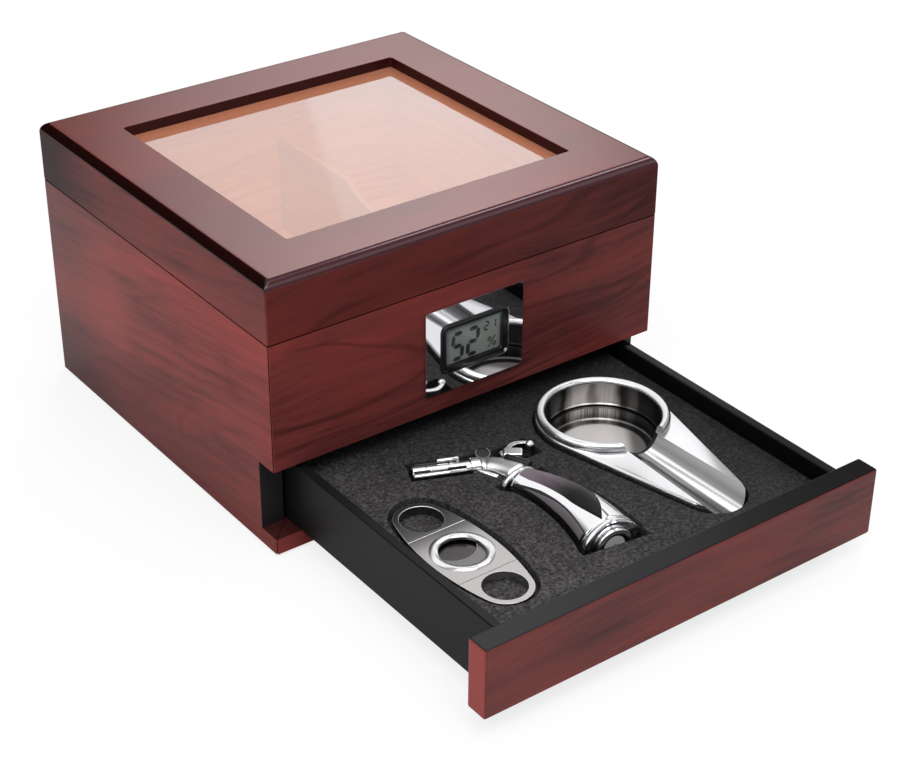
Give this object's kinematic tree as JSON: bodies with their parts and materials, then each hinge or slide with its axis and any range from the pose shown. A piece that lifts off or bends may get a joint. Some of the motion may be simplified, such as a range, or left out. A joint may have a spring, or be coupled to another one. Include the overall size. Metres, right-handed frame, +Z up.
{
  "type": "cigar humidor",
  "caption": "Desktop humidor: hinged glass-topped lid, cedar-lined chamber, digital hygrometer, and a drawer holding an ashtray, a cutter and a jet lighter in foam.",
  "frame": {"origin": "middle of the underside of the felt", "axes": "+X to the right seen from the front, +Y to the back, +Z up; the front faces -Y and the drawer opens to -Y"},
  "size_m": [0.26, 0.4341, 0.165],
  "materials": {
    "side_panel_left": "dark red mahogany veneer, satin lacquer",
    "side_panel_right": "dark red mahogany veneer, satin lacquer",
    "front_panel": "dark red mahogany veneer, satin lacquer",
    "back_panel": "dark red mahogany veneer, satin lacquer",
    "base_board": "dark red mahogany veneer, satin lacquer",
    "lid_frame": "dark red mahogany veneer, satin lacquer",
    "drawer_front": "dark red mahogany veneer, satin lacquer",
    "chamber_floor": "plain plywood",
    "cedar_floor": "bare Spanish cedar",
    "cedar_front": "bare Spanish cedar",
    "cedar_back": "bare Spanish cedar",
    "cedar_left": "bare Spanish cedar",
    "cedar_right": "bare Spanish cedar",
    "divider": "bare Spanish cedar",
    "lid_cedar_front": "bare Spanish cedar",
    "lid_cedar_back": "bare Spanish cedar",
    "lid_cedar_left": "bare Spanish cedar",
    "lid_cedar_right": "bare Spanish cedar",
    "drawer_side_left": "satin black stain",
    "drawer_side_right": "satin black stain",
    "drawer_back": "satin black stain",
    "drawer_bottom": "satin black stain",
    "base_felt": "black felt",
    "foam_insert": "charcoal foam, flocked",
    "humidifier_sponge": "floral sponge",
    "humidifier_case": "moulded black",
    "humidifier_grille": "moulded black",
    "hygrometer_case": "moulded black",
    "hygrometer_cell_cover": "moulded black",
    "hygrometer_frame": "gloss black",
    "hygrometer_display": "grey liquid crystal with dark segments",
    "hygrometer_lens": "clear window",
    "hygrometer_bezel": "polished chrome",
    "hygrometer_cell": "button cell",
    "humidifier_keeper": "plain sheet",
    "lid_glass": "flat clear pane",
    "hinge_lower_left": "polished",
    "hinge_lower_right": "polished",
    "hinge_upper_left": "polished",
    "hinge_upper_right": "polished",
    "hinge_pin_left": "polished",
    "hinge_pin_right": "polished",
    "ashtray_plate": "polished chrome",
    "ashtray_bowl": "spun steel, polished rim",
    "cutter_frame": "satin steel",
    "cutter_grip_rear": "satin steel",
    "cutter_grip_front": "satin steel",
    "cutter_blade_rear": "ground steel",
    "cutter_blade_front": "ground steel",
    "lighter_handle": "polished chrome",
    "lighter_collar": "polished chrome",
    "lighter_head": "polished chrome",
    "lighter_barrel": "polished chrome",
    "lighter_catch": "polished chrome",
    "lighter_lever": "polished chrome",
    "lighter_inlay_left": "smoked black",
    "lighter_inlay_right": "smoked black",
    "lighter_flame_wheel": "black",
    "lighter_fill_valve": "satin"
  },
  "bodies": {
    "case": {"base_felt": "base_felt", "base_board": "base_board", "side_panel_left": "side_panel_left", "side_panel_right": "side_panel_right", "front_panel": "front_panel", "back_panel": "back_panel", "chamber_floor": "chamber_floor", "cedar_floor": "cedar_floor", "cedar_front": "cedar_front", "cedar_back": "cedar_back", "cedar_left": "cedar_left", "cedar_right": "cedar_right", "humidifier_keeper": "humidifier_keeper", "humidifier_case": "humidifier_case", "humidifier_sponge": "humidifier_sponge", "humidifier_grille": "humidifier_grille", "hygrometer_bezel": "hygrometer_bezel", "hygrometer_frame": "hygrometer_frame", "hygrometer_display": "hygrometer_display", "hygrometer_lens": "hygrometer_lens", "hygrometer_case": "hygrometer_case", "hygrometer_cell": "hygrometer_cell", "hygrometer_cell_cover": "hygrometer_cell_cover", "hinge_lower_left": "hinge_lower_left", "hinge_lower_right": "hinge_lower_right", "hinge_pin_left": "hinge_pin_left", "hinge_pin_right": "hinge_pin_right"},
    "lid": {"lid_frame": "lid_frame", "lid_glass": "lid_glass", "lid_cedar_front": "lid_cedar_front", "lid_cedar_back": "lid_cedar_back", "lid_cedar_left": "lid_cedar_left", "lid_cedar_right": "lid_cedar_right", "hinge_upper_left": "hinge_upper_left", "hinge_upper_right": "hinge_upper_right"},
    "partition": {"divider": "divider"},
    "drawer": {"drawer_front": "drawer_front", "drawer_side_left": "drawer_side_left", "drawer_side_right": "drawer_side_right", "drawer_back": "drawer_back", "drawer_bottom": "drawer_bottom", "foam_insert": "foam_insert"},
    "ashtray": {"ashtray_plate": "ashtray_plate", "ashtray_bowl": "ashtray_bowl"},
    "cutter": {"cutter_frame": "cutter_frame"},
    "cutter_rear_half": {"cutter_grip_rear": "cutter_grip_rear", "cutter_blade_rear": "cutter_blade_rear"},
    "cutter_front_half": {"cutter_grip_front": "cutter_grip_front", "cutter_blade_front": "cutter_blade_front"},
    "lighter": {"lighter_handle": "lighter_handle", "lighter_inlay_left": "lighter_inlay_left", "lighter_inlay_right": "lighter_inlay_right", "lighter_collar": "lighter_collar", "lighter_head": "lighter_head", "lighter_barrel": "lighter_barrel", "lighter_catch": "lighter_catch", "lighter_fill_valve": "lighter_fill_valve"},
    "thumb_lever": {"lighter_lever": "lighter_lever"},
    "flame_wheel": {"lighter_flame_wheel": "lighter_flame_wheel"}
  },
  "joints": [
    {"name": "lid_hinge", "type": "hinge", "parent": "case", "child": "lid", "pos_m": [0, 0.1262, 0.12925], "axis": [-1, 0, 0], "range_deg": [0, 95]},
    {"name": "divider_slide", "type": "slide", "parent": "case", "child": "partition", "axis": [1, 0, 0], "range_m": [-0.105, 0.08]},
    {"name": "drawer_slide", "type": "slide", "parent": "case", "child": "drawer", "axis": [0, -1, 0], "range_m": [-0.182, 0.012]},
    {"name": "ashtray_lift", "type": "slide", "parent": "drawer", "child": "ashtray", "axis": [0, 0, 1], "range_m": [0, 0.06]},
    {"name": "cutter_lift", "type": "slide", "parent": "drawer", "child": "cutter", "axis": [0, 0, 1], "range_m": [0, 0.06]},
    {"name": "cutter_rear_pull", "type": "slide", "parent": "cutter", "child": "cutter_rear_half", "axis": [0, 1, 0], "range_m": [0, 0.0135]},
    {"name": "cutter_front_pull", "type": "slide", "parent": "cutter", "child": "cutter_front_half", "axis": [0, -1, 0], "range_m": [0, 0.0135]},
    {"name": "lighter_lift", "type": "slide", "parent": "drawer", "child": "lighter", "axis": [0, 0, 1], "range_m": [0, 0.06]},
    {"name": "thumb_lever_press", "type": "hinge", "parent": "lighter", "child": "thumb_lever", "pos_m": [-0.00982, -0.16514, 0.0372], "axis": [0, 0, -1], "range_deg": [0, 12], "stiffness_Nm_per_rad": 0.03},
    {"name": "flame_wheel_turn", "type": "hinge", "parent": "lighter", "child": "flame_wheel", "pos_m": [-0.01294, -0.2595, 0.0372], "axis": [-0.1392, -0.9903, 0], "range_deg": [-120, 120]}
  ],
  "couplings": [
    {"joint": "cutter_rear_pull", "follows": "cutter_lift", "ratio": 0.2166},
    {"joint": "cutter_front_pull", "follows": "cutter_lift", "ratio": 0.2166}
  ]
}
